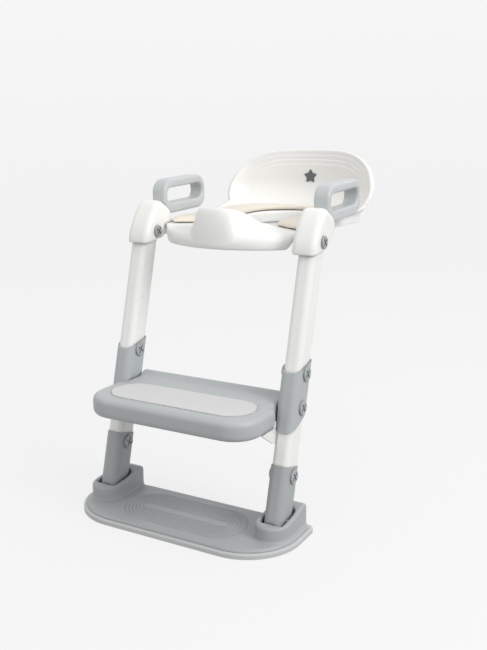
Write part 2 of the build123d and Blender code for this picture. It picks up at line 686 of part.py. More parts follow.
# ---- ears and handles ---------------------------------------------------------------------
def ear_outline():
    """Side view of the rounded ear over the rail's top."""
    points = [(-96.5, 400), (-93.5, 425), (-84, 446), (-70, 466), (-53, 478.5), (-36, 472),
              (-20, 459.5), (-17, 446), (-28, 431), (-42, 418), (-46, 400)]
    hood = Spline(*points, tangents=[(0.1, 1), (0, -1)])
    foot = Line(points[-1], points[0])
    return make_face(Curve() + [hood, foot])


def ear_body():
    body = side_prism(ear_outline(), EAR_X[0], EAR_X[3])
    return fillet([e for e in body.edges() if e.length > 60 and abs(e.center().X - 147.5) > 15], 10.0)


def below_ear():
    """Everything under the slanted lower rim of an ear."""
    outline = make_face(Polyline((-140, 380), (-140, 406.5), (0, 424), (0, 380), close=True))
    return side_prism(outline, 100, 200)


def ear_cavity():
    """Room for the rail's eye and for the rail to swing out to the rear."""
    turn = x_rod(EYE_ROOM, EAR_X[1], EAR_X[2], PIVOT_Y, PIVOT_Z)
    turn = fillet(turn.edges().filter_by(GeomType.CIRCLE), 8.0)
    wide = EAR_X[2] - EAR_X[1]
    drop = leg_tube(wide, 2 * (EYE_ROOM - 0.4), RAIL_ROUND, 0, 60, RAIL_X)
    rear = block(EAR_X[1:3], (PIVOT_Y, 20), (380, PIVOT_Z + EYE_ROOM - 0.1))
    return [turn, drop, rear]


def ear_cap():
    cap = ear_body() - below_ear() - block((100, EAR_X[1]), (-200, 200), (300, 600))
    for cutter in ear_cavity():
        cap = cap - cutter
    cap = cap - handle_blank()
    cap = cap - handle_tang(0.1)
    screw_y, screw_z = handle_screw_place()
    cap = cap - x_rod(2.05, 100, 154, screw_y, screw_z)
    cap = cap - x_rod(4.2, 100, EAR_X[1] + 2.6, screw_y, screw_z)
    return cap - x_rod(BOLT_R + RUNNING_GAP, 100, 200, PIVOT_Y, PIVOT_Z)


def ear_inner():
    """Inner plate of the ear with an arm that joins the seat deck."""
    plate = ear_body() - below_ear()
    plate = plate & block((100, EAR_X[1]), (-200, 200), (300, 600))
    arm = make_face(Polyline((-60, 424), (-60, 446), (-6, 446), (4, 436), (4, 428), (-30, 422), close=True))
    plate = plate + side_prism(arm, EAR_X[0], EAR_X[1])
    return plate - handle_blank() - x_rod(BOLT_R + RUNNING_GAP, 100, 200, PIVOT_Y, PIVOT_Z)


def handle_blank():
    """Outer block of the handle loop, used to make room for it."""
    height = HANDLE_Z[1] - HANDLE_Z[0]
    length = HANDLE_Y[1] - HANDLE_Y[0]
    outer = Pos(sum(HANDLE_Y) / 2, sum(HANDLE_Z) / 2) * RectangleRounded(length, height, HANDLE_CORNER)
    return handle_tilt(side_prism(outer, *HANDLE_X))


def handle_tang(grow):
    """Tongue of the handle that is screwed inside the ear."""
    return block((141 - grow, 154 + grow), (-58 - grow, -8), (454.5 - grow, 467 + grow))


def handle_screw_place():
    return -49.0, 461.5


def handle():
    bar_end = 10.5
    bar_top = 14.5
    bar_low = 17.5
    length = HANDLE_Y[1] - HANDLE_Y[0]
    height = HANDLE_Z[1] - HANDLE_Z[0]
    middle_y = sum(HANDLE_Y) / 2
    outer = Pos(middle_y, sum(HANDLE_Z) / 2) * RectangleRounded(length, height, HANDLE_CORNER)
    window_high = height - bar_top - bar_low
    window = RectangleRounded(length - 2 * bar_end, window_high, 11.5)
    window = Pos(middle_y, HANDLE_Z[0] + bar_low + window_high / 2) * window
    loop = side_prism(outer - window, *HANDLE_X)
    middle_x = sum(HANDLE_X) / 2
    loop = fillet([e for e in loop.edges() if abs(e.center().X - middle_x) > 5], 4.9)
    grip = handle_tilt(loop) + handle_tang(0)
    y, z = handle_screw_place()
    return grip - x_rod(1.95, 100, 153, y, z)


def handle_screw():
    """Screw from the ear's inner plate side into the handle's tongue."""
    y, z = handle_screw_place()
    turned = Rot(0, 90, 0) * pan_screw(14.0)
    return Pos(EAR_X[1] + 2.4, y, z) * turned


# ---- build --------------------------------------------------------------------------------
def build_ladder():
    write_pair("rail", rail())
    write_pair("rail_top_eye", rail_top_eye())
    write_pair("step_sleeve", step_sleeve())
    write_pair("step_bracket", step_bracket())
    write("step_tread", step_tread())
    write("step_inlay", step_inlay())
    face = RAIL_X + STEP_SLEEVE_WIDE / 2
    inner_face = RAIL_X - STEP_SLEEVE_WIDE / 2
    upper = down_leg(STEP_BOLTS_DOWN[0])
    lower = down_leg(STEP_BOLTS_DOWN[1])
    write_pair("step_bolt_upper", cross_bolt(KNOB_R, face, inner_face - 1.2, *upper))
    write_pair("step_bolt_lower", cross_bolt(KNOB_R, face, inner_face - 12.5, *lower))
    write_pair("step_nut", cap_nut(KNOB_R, inner_face, inner_face - 1.2, *upper))


def build_lower_legs():
    write_pair("leg_sleeve", leg_sleeve())
    write_pair("leg_foot", leg_foot())
    write_pair("base_hinge_pin", base_hinge_pin())
    face = RAIL_X + LEG_SLEEVE_WIDE / 2
    inner_face = RAIL_X - LEG_SLEEVE_WIDE / 2
    y, z = down_leg(LEG_BOLT_DOWN)
    write_pair("leg_bolt", cross_bolt(KNOB_R, face, inner_face - 1.2, y, z))
    write_pair("leg_nut", cap_nut(KNOB_R, inner_face, inner_face - 1.2, y, z))


def build_base():
    write("base_deck", base_deck())
    write("base_rim_grip", base_rim_grip())
    write("base_floor_pads", base_floor_pads())


def build_seat():
    shell = seat_shell()
    for hole in screw_holes() + backrest_screw_holes():
        shell = shell - hole
    back = backrest()
    for hole in backrest_screw_holes():
        back = back - hole
    write("seat_shell", shell)
    write("seat_cushion", seat_cushion())
    write("under_frame", under_frame())
    write("frame_screws", frame_screws())
    write("seat_pads", seat_pads())
    write("backrest", back)
    write("backrest_screws", Compound(children=backrest_screws()))
    write("backrest_badge", backrest_badge())


def build_ears():
    write_pair("ear_cap", ear_cap())
    write_pair("ear_inner", ear_inner())
    write_pair("handle", handle())
    write_pair("handle_screw", handle_screw())
    write_pair("pivot_bolt", cross_bolt(PIVOT_KNOB_R, EAR_X[3], EAR_X[0] - 1.2, PIVOT_Y, PIVOT_Z))
    write_pair("pivot_nut", cap_nut(PIVOT_KNOB_R, EAR_X[0], EAR_X[0] - 1.2, PIVOT_Y, PIVOT_Z))


os.makedirs("parts", exist_ok=True)
build_ladder()
build_lower_legs()
build_base()
build_seat()
build_ears()
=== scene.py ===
"""Looks for the toilet training seat: materials, moulded skins, the padded ring and the studio."""

import json
import math

import bmesh
import bpy
import numpy as np
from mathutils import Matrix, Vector


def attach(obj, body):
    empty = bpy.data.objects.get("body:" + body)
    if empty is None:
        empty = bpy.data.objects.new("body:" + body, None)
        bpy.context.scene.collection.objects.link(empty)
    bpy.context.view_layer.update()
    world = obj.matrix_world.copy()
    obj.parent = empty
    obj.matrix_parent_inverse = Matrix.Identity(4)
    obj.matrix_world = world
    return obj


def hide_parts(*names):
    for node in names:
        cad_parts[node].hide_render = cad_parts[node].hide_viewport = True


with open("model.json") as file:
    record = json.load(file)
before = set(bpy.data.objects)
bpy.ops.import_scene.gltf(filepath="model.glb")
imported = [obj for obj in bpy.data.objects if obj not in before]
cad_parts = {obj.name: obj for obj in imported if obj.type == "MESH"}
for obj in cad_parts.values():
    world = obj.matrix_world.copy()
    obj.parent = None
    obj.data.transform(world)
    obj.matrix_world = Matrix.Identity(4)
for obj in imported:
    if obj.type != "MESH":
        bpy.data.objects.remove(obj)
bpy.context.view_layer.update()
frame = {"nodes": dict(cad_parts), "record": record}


# ---- materials ----------------------------------------------------------------------------
def new_material(name):
    material = bpy.data.materials.new(name)
    material.use_nodes = True
    tree = material.node_tree
    return material, tree, tree.nodes["Principled BSDF"]


def add(tree, kind, **settings):
    node = tree.nodes.new(kind)
    for key, value in settings.items():
        setattr(node, key, value)
    return node


def object_position(tree):
    """Position in metres, the same on every piece."""
    return add(tree, "ShaderNodeTexCoord").outputs["Object"]


def noise(tree, place, scale, detail=3.0, roughness=0.5):
    node = add(tree, "ShaderNodeTexNoise")
    node.inputs["Scale"].default_value = scale
    node.inputs["Detail"].default_value = detail
    node.inputs["Roughness"].default_value = roughness
    tree.links.new(place, node.inputs["Vector"])
    return node.outputs["Fac"]


def spread(tree, value, low, high):
    """Map a 0..1 value onto low..high."""
    node = add(tree, "ShaderNodeMapRange")
    node.inputs["From Min"].default_value = 0.3
    node.inputs["From Max"].default_value = 0.7
    node.inputs["To Min"].default_value = low
    node.inputs["To Max"].default_value = high
    tree.links.new(value, node.inputs["Value"])
    return node.outputs["Result"]


def blend_colours(tree, factor, first, second):
    node = add(tree, "ShaderNodeMix", data_type="RGBA")
    node.inputs[6].default_value = (*first, 1)
    node.inputs[7].default_value = (*second, 1)
    tree.links.new(factor, node.inputs[0])
    return node.outputs[2]


def add_bump(tree, height, strength, distance, under=None):
    node = add(tree, "ShaderNodeBump")
    node.inputs["Strength"].default_value = strength
    node.inputs["Distance"].default_value = distance
    tree.links.new(height, node.inputs["Height"])
    if under:
        tree.links.new(under, node.inputs["Normal"])
    return node.outputs["Normal"]


def shade_crevices(tree, colour):
    """Painted shade: darken narrow gaps and grooves, where the surface around them hides the light."""
    near = add(tree, "ShaderNodeAmbientOcclusion", samples=6)
    near.inputs["Distance"].default_value = 0.005
    depth = add(tree, "ShaderNodeMapRange")
    depth.inputs["From Min"].default_value = 0.30
    depth.inputs["From Max"].default_value = 0.96
    depth.inputs["To Min"].default_value = 0.45
    depth.inputs["To Max"].default_value = 1.0
    tree.links.new(near.outputs["AO"], depth.inputs["Value"])
    scale = add(tree, "ShaderNodeVectorMath", operation="SCALE")
    tree.links.new(colour, scale.inputs[0])
    tree.links.new(depth.outputs["Result"], scale.inputs["Scale"])
    return scale.outputs[0]


def moulded_plastic(name, colour, roughness, grain=0.00012, grain_scale=1400.0, wave=0.0002, coat=0.0):
    """Injection-moulded plastic: fine tool grain over a very slight sink-mark waviness."""
    material, tree, shader = new_material(name)
    place = object_position(tree)
    cloud = noise(tree, place, 9.0, 4.0)
    darker = tuple(c * 0.985 for c in colour)
    body = blend_colours(tree, spread(tree, cloud, 0, 1), darker, colour)
    # painted shade: the base colour is darkened in gaps and grooves
    tree.links.new(shade_crevices(tree, body), shader.inputs["Base Color"])
    rub = noise(tree, place, 60.0, 5.0, 0.65)
    tree.links.new(spread(tree, rub, roughness - 0.05, roughness + 0.06), shader.inputs["Roughness"])
    broad = add_bump(tree, noise(tree, place, 22.0, 2.0), 0.25, wave)
    fine = add_bump(tree, noise(tree, place, grain_scale, 2.0), 0.5, grain, broad)
    tree.links.new(fine, shader.inputs["Normal"])
    shader.inputs["IOR"].default_value = 1.48
    shader.inputs["Coat Weight"].default_value = coat
    shader.inputs["Coat Roughness"].default_value = 0.2
    return material


def foam_skin(name, colour):
    """Soft skinned foam with a pebbled leather grain."""
    material, tree, shader = new_material(name)
    place = object_position(tree)
    cloud = noise(tree, place, 14.0, 4.0)
    deeper = tuple(c * 0.93 for c in colour)
    tone = blend_colours(tree, spread(tree, cloud, 0, 1), deeper, colour)
    tree.links.new(tone, shader.inputs["Base Color"])
    pebble = add(tree, "ShaderNodeTexVoronoi", feature="SMOOTH_F1")
    pebble.inputs["Scale"].default_value = 620.0
    tree.links.new(place, pebble.inputs["Vector"])
    broad = add_bump(tree, noise(tree, place, 40.0, 3.0), 0.3, 0.0006)
    grain = add_bump(tree, pebble.outputs["Distance"], 0.45, 0.0004, broad)
    tree.links.new(grain, shader.inputs["Normal"])
    tree.links.new(spread(tree, noise(tree, place, 90.0), 0.42, 0.56), shader.inputs["Roughness"])
    shader.inputs["Sheen Weight"].default_value = 0.15
    shader.inputs["Sheen Roughness"].default_value = 0.5
    return material


def grip_rubber(name, colour, pitch, height):
    """Soft rubber with a regular field of small dots."""
    material, tree, shader = new_material(name)
    place = object_position(tree)
    dots = add(tree, "ShaderNodeTexVoronoi", feature="F1")
    dots.inputs["Scale"].default_value = 1.0 / pitch
    dots.inputs["Randomness"].default_value = 0.0
    flat = add(tree, "ShaderNodeVectorMath", operation="MULTIPLY")
    flat.inputs[1].default_value = (1.0, 1.0, 0.0)
    tree.links.new(place, flat.inputs[0])
    tree.links.new(flat.outputs[0], dots.inputs["Vector"])
    ring = add(tree, "ShaderNodeMapRange")
    ring.interpolation_type = "SMOOTHSTEP"
    ring.inputs["From Min"].default_value = 0.18
    ring.inputs["From Max"].default_value = 0.42
    ring.inputs["To Min"].default_value = 1.0
    ring.inputs["To Max"].default_value = 0.0
    tree.links.new(dots.outputs["Distance"], ring.inputs["Value"])
    darker = tuple(c * 0.95 for c in colour)
    tree.links.new(blend_colours(tree, ring.outputs["Result"], darker, colour), shader.inputs["Base Color"])
    broad = add_bump(tree, noise(tree, place, 300.0, 3.0), 0.2, 0.0002)
    relief = add_bump(tree, ring.outputs["Result"], 0.6, height, broad)
    tree.links.new(relief, shader.inputs["Normal"])
    tree.links.new(spread(tree, noise(tree, place, 70.0), 0.6, 0.75), shader.inputs["Roughness"])
    return material


def plated_steel(name):
    material, tree, shader = new_material(name)
    place = object_position(tree)
    tree.links.new(blend_colours(tree, noise(tree, place, 400.0), (0.5, 0.5, 0.52), (0.72, 0.72, 0.74)),
                   shader.inputs["Base Color"])
    tree.links.new(spread(tree, noise(tree, place, 900.0), 0.25, 0.4), shader.inputs["Roughness"])
    shader.inputs["Metallic"].default_value = 1.0
    return material


WHITE = moulded_plastic("white_moulding", (0.95, 0.945, 0.92), 0.34, coat=0.15)
RAIL = moulded_plastic("rail_white", (0.96, 0.955, 0.93), 0.30, grain=0.00006, coat=0.2)
HANDLE = moulded_plastic("handle_grey", (0.58, 0.605, 0.615), 0.34, coat=0.3)
STEP = moulded_plastic("step_grey", (0.48, 0.505, 0.515), 0.44)
BASE = moulded_plastic("base_grey", (0.42, 0.44, 0.45), 0.44)
KNOB = moulded_plastic("knob_grey", (0.40, 0.42, 0.43), 0.38)
PIVOT = moulded_plastic("pivot_grey", (0.38, 0.385, 0.39), 0.30)
INNER = moulded_plastic("inner_grey", (0.30, 0.31, 0.33), 0.5)
BADGE = moulded_plastic("badge_grey", (0.13, 0.14, 0.15), 0.4)
FOAM = foam_skin("cushion_skin", (0.86, 0.79, 0.69))
INLAY = grip_rubber("inlay_rubber", (0.70, 0.70, 0.70), 0.0032, 0.0004)
RIM = grip_rubber("rim_rubber", (0.60, 0.61, 0.61), 0.0024, 0.0001)
PADS = grip_rubber("pad_rubber", (0.22, 0.23, 0.24), 0.0024, 0.0003)
STEEL = plated_steel("plated_steel")

SLOT_MATERIALS = {
    "white_plastic": WHITE, "rail_white": RAIL, "cushion_foam": FOAM, "handle_grey": HANDLE,
    "step_grey": STEP, "base_grey": BASE, "inlay_rubber": INLAY, "rim_rubber": RIM,
    "pad_rubber": PADS, "knob_grey": KNOB, "pivot_grey": PIVOT, "inner_grey": INNER,
    "steel": STEEL, "badge_grey": BADGE,
}


def dress_cad_nodes():
    """Give every CAD node the procedural version of its own finish."""
    for entry in frame["record"]["subparts"]:
        node = frame["nodes"][entry["node"]]
        for slot in node.material_slots:
            slot.material = SLOT_MATERIALS[entry["material_slot"]]


dress_cad_nodes()


# ---- mesh helpers -------------------------------------------------------------------------
MM = 0.001


def smoothstep(low, high, value):
    part = min(max((value - low) / (high - low), 0.0), 1.0)
    return part * part * (3 - 2 * part)


def mix(first, second, share):
    return first + (second - first) * share


def finish_piece(mesh, name, material, body, stands_for=(), subdivide=0):
    """Turn a millimetre mesh into a named piece that rides on its body."""
    bmesh.ops.recalc_face_normals(mesh, faces=mesh.faces)
    data = bpy.data.meshes.new(name)
    mesh.to_mesh(data)
    mesh.free()
    piece = bpy.data.objects.new(name, data)
    bpy.context.scene.collection.objects.link(piece)
    if subdivide:
        modifier = piece.modifiers.new("rounding", "SUBSURF")
        modifier.levels = subdivide
        modifier.render_levels = subdivide
    dress(piece, material, body, stands_for)
    return piece


def dress(piece, material, body, stands_for):
    data = piece.data
    data.materials.clear()
    data.materials.append(material)
    data.polygons.foreach_set("use_smooth", [True] * len(data.polygons))
    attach(piece, body)
    if stands_for:
        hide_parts(*stands_for)


def point(mesh, place):
    return mesh.verts.new(Vector(place) * MM)


def loft(sections, closed):
    """Skin closed sections that all have the same number of points."""
    mesh = bmesh.new()
    rings = [[point(mesh, place) for place in section] for section in sections]
    count = len(rings[0])
    pairs = list(zip(rings, rings[1:]))
    if closed:
        pairs.append((rings[-1], rings[0]))
    for first, second in pairs:
        for index in range(count):
            after = (index + 1) % count
            mesh.faces.new((first[index], first[after], second[after], second[index]))
    return mesh


def even_steps(points, count):
    """The same line again, with its points an even distance apart."""
    reach = [0.0]
    for a, b in zip(points, points[1:]):
        reach.append(reach[-1] + (Vector(b) - Vector(a)).length)
    result = []
    low = 0
    for step in range(count):
        wanted = reach[-1] * step / (count - 1)
        while low < len(points) - 2 and reach[low + 1] < wanted:
            low += 1
        share = (wanted - reach[low]) / max(reach[low + 1] - reach[low], 1e-9)
        result.append(tuple(mix(a, b, share) for a, b in zip(points[low], points[low + 1])))
    return result


def relax(data, passes, weight_of):
    """Round a dense skin: each pass moves every point towards its neighbours."""
    count = len(data.vertices)
    points = np.empty(count * 3)
    data.vertices.foreach_get("co", points)
    points = points.reshape(-1, 3)
    edges = np.empty(len(data.edges) * 2, dtype=int)
    data.edges.foreach_get("vertices", edges)
    start, end = edges.reshape(-1, 2).T
    degree = np.bincount(start, minlength=count) + np.bincount(end, minlength=count)
    weight = (weight_of(points / MM) * 0.5)[:, None]
    for _ in range(passes):
        total = np.empty_like(points)
        for axis in range(3):
            total[:, axis] = np.bincount(start, points[end, axis], count)
            total[:, axis] += np.bincount(end, points[start, axis], count)
        points += weight * (total / degree[:, None] - points)
    data.vertices.foreach_set("co", points.ravel())
    data.update()


def everywhere(points):
    return np.ones(len(points))


def soften(nodes, voxel, passes, material, body, weight_of=everywhere):
    """Moulded skin over CAD nodes: one even mesh of them with every edge rounded."""
    joined = bmesh.new()
    for node in nodes:
        joined.from_mesh(frame["nodes"][node].data)
    data = bpy.data.meshes.new(nodes[0])
    joined.to_mesh(data)
    joined.free()
    piece = bpy.data.objects.new(nodes[0] + "_moulding", data)
    bpy.context.scene.collection.objects.link(piece)
    remesh = piece.modifiers.new("skin", "REMESH")
    remesh.mode = "VOXEL"
    remesh.voxel_size = voxel * MM
    graph = bpy.context.evaluated_depsgraph_get()
    data = bpy.data.meshes.new_from_object(piece.evaluated_get(graph))
    piece.modifiers.clear()
    piece.data = data
    relax(data, passes, weight_of)
    dress(piece, material, body, nodes)
    return piece


def near_collars(points):
    """Full rounding round the base's collars, and only a little on its grooved middle."""
    wide = np.clip((np.abs(points[:, 0]) - 104.0) / 14.0, 0.0, 1.0)
    high = np.clip((points[:, 2] - 8.0) / 3.0, 0.0, 1.0)
    return 0.10 + 0.90 * wide * high


BASE_TOP = 12.0
RIDGE_PITCH = 7.0
RIDGE_RINGS = 6
RIDGE_DEEP = 1.5
RIDGE_MIDDLE_Y = -190.5
RIDGE_STRAIGHT = 60.0     # half length of the outermost ring's straight sides
RIDGE_RADIUS = 46.0       # radius of its round ends
RIDGE_LENGTHEN = 1.5      # each ring further in has straight sides this much longer
RIDGE_START = 0.16        # middle of the first groove, as a share of the pitch


def press_ridges(piece):
    """Mould the base's racetrack ridges: smooth waves that run round the middle of the deck."""
    count = len(piece.data.vertices)
    points = np.empty(count * 3)
    piece.data.vertices.foreach_get("co", points)
    points = points.reshape(-1, 3) / MM
    ring = np.zeros(count)
    for _ in range(6):
        beyond = np.maximum(np.abs(points[:, 0]) - RIDGE_STRAIGHT - RIDGE_LENGTHEN * ring, 0.0)
        ring = (RIDGE_RADIUS - np.hypot(beyond, points[:, 1] - RIDGE_MIDDLE_Y)) / RIDGE_PITCH
    ring = ring - RIDGE_START
    wave = RIDGE_DEEP * (0.5 + 0.5 * np.cos(2 * math.pi * ring))
    upper = points[:, 2] > BASE_TOP - 2.2
    inside = upper & (ring > -0.5) & (ring < RIDGE_RINGS - 0.5)
    core = upper & (ring >= RIDGE_RINGS - 0.5)
    points[inside, 2] = BASE_TOP - wave[inside]
    points[core, 2] = BASE_TOP
    piece.data.vertices.foreach_set("co", (points * MM).ravel())
    piece.data.update()


# ---- seat shell ---------------------------------------------------------------------------
HOLE_HALF = 58.0
HOLE_FRONT = 27.5         # centres of the hole's two round ends
HOLE_REAR = 143.5
DECK_TOP = 441.0
DECK_UNDER = 432.0
DECK_HINGE_Y = -36.5
DECK_RISE = math.tan(math.radians(1.5))
FRONT_EDGE = -111.5
FRONT_RADIUS = 146.8      # plan radius of the front edge
GUARD_CENTRE = -36.0      # the splash guard's wall follows a squared ellipse about this Y
GUARD_HALF = 41.0
GUARD_DEEP = 64.5
GUARD_WALL = 5.5

WALL_RADIUS = 247.0       # plan line of the backrest: a wide arc, a tighter corner, a straight flank
WALL_CENTRE = 3.5
WALL_TURN = math.radians(26.5)
CORNER_RADIUS = 61.0
CORNER_X = (WALL_RADIUS - CORNER_RADIUS) * math.sin(WALL_TURN)
CORNER_Y = WALL_CENTRE + (WALL_RADIUS - CORNER_RADIUS) * math.cos(WALL_TURN)
FOOT_IN = 25.0            # the wall's foot curves in by this much to meet the deck


def lift(y):
    """Extra height of the seat deck at a Y, from its slope."""
    return max(y - DECK_HINGE_Y, 0.0) * DECK_RISE


def wall_line(run, grow):
    """Plan point of the backrest line, at a run from its middle and a distance outside it."""
    side = 1 if run >= 0 else -1
    run = abs(run)
    wide_run = WALL_RADIUS * WALL_TURN
    corner_run = CORNER_RADIUS * (math.pi / 2 - WALL_TURN)
    if run < wide_run:
        angle = run / WALL_RADIUS
        radius = WALL_RADIUS + grow
        return side * radius * math.sin(angle), WALL_CENTRE + radius * math.cos(angle)
    angle = min(WALL_TURN + (run - wide_run) / CORNER_RADIUS, math.pi / 2)
    radius = CORNER_RADIUS + grow
    straight = max(run - wide_run - corner_run, 0.0)
    x = CORNER_X + radius * math.sin(angle) - straight * 0.02
    return side * x, CORNER_Y + radius * math.cos(angle) - straight


def seat_edge():
    """Right half of the seat deck's outer edge, from the front middle to the rear middle."""
    points = []
    centre = FRONT_EDGE + FRONT_RADIUS
    for step in range(33):
        angle = math.radians(53.5 * step / 32)
        points.append((FRONT_RADIUS * math.sin(angle), centre - FRONT_RADIUS * math.cos(angle)))
    points += [(123.5, -44), (126, -36), (127, -24), (127, 0), (126, 14), (123, 28), (119.5, 42)]
    for step in range(40):
        points.append(wall_line(310 * (1 - step / 39), -FOOT_IN - 0.4))
    return points


SEAT_EDGE = seat_edge()


def reach(place, way):
    """Distance from a point, along a direction, to the seat's outer edge."""
    best = 0.0
    for (ax, ay), (bx, by) in zip(SEAT_EDGE, SEAT_EDGE[1:]):
        span = way[0] * (by - ay) - way[1] * (bx - ax)
        if abs(span) < 1e-9:
            continue
        along = ((ax - place[0]) * (by - ay) - (ay - place[1]) * (bx - ax)) / span
        share = ((ax - place[0]) * way[1] - (ay - place[1]) * way[0]) / span
        if -0.001 <= share <= 1.001 and along > best:
            best = along
    return best


def seat_spokes():
    """(point on the hole's edge, outward direction, angle from straight ahead) down the right side."""
    spokes = []
    for step in range(73):
        turn = 90 * step / 72
        way = (math.sin(math.radians(turn)), -math.cos(math.radians(turn)))
        spokes.append(((HOLE_HALF * way[0], HOLE_FRONT + HOLE_HALF * way[1]), way, turn))
    for step in range(1, 24):
        y = mix(HOLE_FRONT, HOLE_REAR, step / 24)
        spokes.append(((HOLE_HALF, y), (1.0, 0.0), 90.0 + step))
    for step in range(37):
        turn = 90 * step / 36
        way = (math.cos(math.radians(turn)), math.sin(math.radians(turn)))
        spokes.append(((HOLE_HALF * way[0], HOLE_REAR + HOLE_HALF * way[1]), way, 120.0 + turn))
    return spokes


def guard_distance(place, way, width):
    """How far from the hole's edge the middle of the splash guard's wall stands."""
    low, high = 0.0, width
    for _ in range(24):
        middle = (low + high) / 2
        x = abs(place[0] + way[0] * middle) / GUARD_HALF
        y = abs(place[1] + way[1] * middle - GUARD_CENTRE) / GUARD_DEEP
        if x ** 2.6 + y ** 2.6 < 1:
            low = middle
        else:
            high = middle
    return high


def guard_height(y):
    """Height of the splash guard's crest above the ring; it falls away towards the rear."""
    back = min(max((y + 100.0) / 98.0, 0.0), 1.0)
    return 33.0 * (1 - mix(back, smoothstep(0.0, 1.0, back), 0.5))


def front_profile(width, wall, rise):
    """Front of the ring with the splash guard on it: (distance, height) points."""
    def surface(distance):
        share = distance / width
        over = min(max((share - 0.82) / 0.18, 0.0), 1.0)
        top = 443.5 - 5.0 * share ** 2
        return 423.0 + (top - 423.0) * math.sqrt(1 - over ** 2)

    floor = 443.0
    crest = 443.5 + rise
    points = [(0, 421), (0, 430), (0, 436), (0.2, 439.5), (1.6, 441.8), (5, 442.8)]
    near = max(wall - GUARD_WALL - 9, 7)
    points.append((mix(5, near, 0.5), floor))
    inner_rise = ((-9.0, 0.0), (-3.6, 0.06), (-0.6, 0.32), (0.7, 0.8), (2.9, 0.965))
    for aside, share in inner_rise:
        points.append((max(wall - GUARD_WALL + aside, 6.5 + aside * 0.05), mix(floor, crest, share)))
    points.append((wall, crest))
    gap = width - wall
    shoulder = smoothstep(14.0, 34.0, gap)
    fall = mix(gap, min(gap - 4, 32.0), shoulder)
    foot = surface(wall + fall)
    for step in range(1, 8):
        share = step / 7
        turn = math.pi / 2 * share
        distance = wall + fall * mix(math.sin(turn), share, shoulder)
        down = mix(math.cos(turn) ** 1.15, 0.5 + 0.5 * math.cos(math.pi * share), shoulder)
        points.append((distance, max(mix(foot, crest, down), surface(distance))))
    last = points[-1][0]
    for step in range(1, 7):
        distance = mix(last, width, math.sin(math.pi / 12 * step))
        points.append((distance, surface(distance) - 0.3 * step * (gap - fall < 0.5)))
    points += [(width - 0.5, 415.6), (width - 2.4, 413.8), (width - 4.6, 414.2), (width - 6, 418),
               (width - 6.6, 425), (width - 11, 431.6)]
    return points + [(width * 0.5, DECK_UNDER), (8, DECK_UNDER), (4.8, 429), (3.6, 424), (2.4, 421)]


def flange_profile(width):
    """Flat deck under the cushion."""
    top = DECK_TOP - 0.1
    points = [(0, 421), (0, 428), (0, 433), (0.2, 438), (1.2, 440.2), (3.5, top)]
    edge = [(width - 0.6, top - 0.2), (width, top - 1.2), (width, 438), (width - 0.2, 436),
            (width - 1.5, 434), (width - 4, 432.6), (width - 8, DECK_UNDER)]
    foot = [(width * 0.5, DECK_UNDER), (8, DECK_UNDER), (4.8, 429), (3.6, 424), (2.4, 421)]
    total = len(front_profile(80, 60, 1))
    upper = 18
    for step in range(upper):
        points.append((mix(5.0, width - 2, step / (upper - 1)), top))
    points += edge
    under = total - len(points) - len(foot)
    for step in range(under):
        points.append((mix(width - 12, width * 0.6, step / max(under - 1, 1)), DECK_UNDER))
    return points + foot


def seat_section(spoke):
    place, way, turn = spoke
    width = reach(place, way)
    wall = min(max(guard_distance(place, way, width), 6.0), width - 10)
    rise = guard_height(place[1] + way[1] * wall)
    side = smoothstep(49.0, 58.0, turn)
    plump = front_profile(width, wall, rise)
    flat = flange_profile(width)
    section = []
    for (d0, z0), (d1, z1) in zip(plump, flat):
        distance = mix(d0, d1, side)
        x = place[0] + way[0] * distance
        y = place[1] + way[1] * distance
        section.append((x, y, mix(z0, z1, side) + lift(y)))
    return section


def make_seat_shell():
    right = [seat_section(spoke) for spoke in seat_spokes()]
    for section in (right[0], right[-1]):
        section[:] = [(0.0, y, z) for x, y, z in section]
    left = [[(-x, y, z) for x, y, z in section] for section in reversed(right[1:-1])]
    mesh = loft(right + left, closed=True)
    finish_piece(mesh, "seat_moulding", WHITE, "seat", ("seat_shell",), subdivide=1)


# ---- backrest -----------------------------------------------------------------------------
BACK_TOP = 556.0
WING_RUN = 168.0          # the wings reach the flanks here, measured along the wall
WING_Z = 462.0
FLANK_RUN = 312.0         # the low side walls end here, at the ears
FLANK_Z = 445.5
BACK_FOOT = 436.0
BACK_WALL = 9.0
STEP_DEPTH = 0.75         # each terrace along the top edge is this much deeper
STEP_OFFSETS = (10.0, 18.5, 26.5)
DEEPEST_ROW = 32.0


def back_contour():
    """Top edge of the wall as (run along the wall, height), from the left ear to the right one."""
    high = BACK_TOP - WING_Z
    right = []
    for step in range(241):
        angle = math.pi / 2 * (step / 240) ** 2
        right.append((WING_RUN * math.sin(angle) ** 0.5, WING_Z + high * max(math.cos(angle), 0.0) ** 1.87))
    for step in range(1, 41):
        share = step / 40
        right.append((mix(WING_RUN, FLANK_RUN, share), FLANK_Z + (WING_Z - FLANK_Z) * (1 - share) ** 1.6))
    left = [(-run, z) for run, z in reversed(right[1:])]
    return even_steps(left + right, 281)


def inner_offset(z):
    return -FOOT_IN * min(max((500.0 - z) / 57.0, 0.0), 1.0) ** 2.15


def outer_offset(z):
    return BACK_WALL - FOOT_IN * min(max((502.0 - z) / 58.0, 0.0), 1.0) ** 1.92


def back_terrace(inset, z):
    """Depth of the stepped grooves at a distance from the edge; they fade out down the wings."""
    fade = smoothstep(497.0, 532.0, z)
    return fade * sum(STEP_DEPTH * (1 - smoothstep(at - 0.8, at + 0.8, inset)) for at in STEP_OFFSETS)


def edge_inward(contour):
    """Unit vectors in (run, height) that point into the wall from its top edge."""
    inward = []
    for index in range(len(contour)):
        before = contour[max(index - 3, 0)]
        after = contour[min(index + 3, len(contour) - 1)]
        along = Vector((after[0] - before[0], after[1] - before[1])).normalized()
        inward.append((along[1], -along[0]))
    return inward


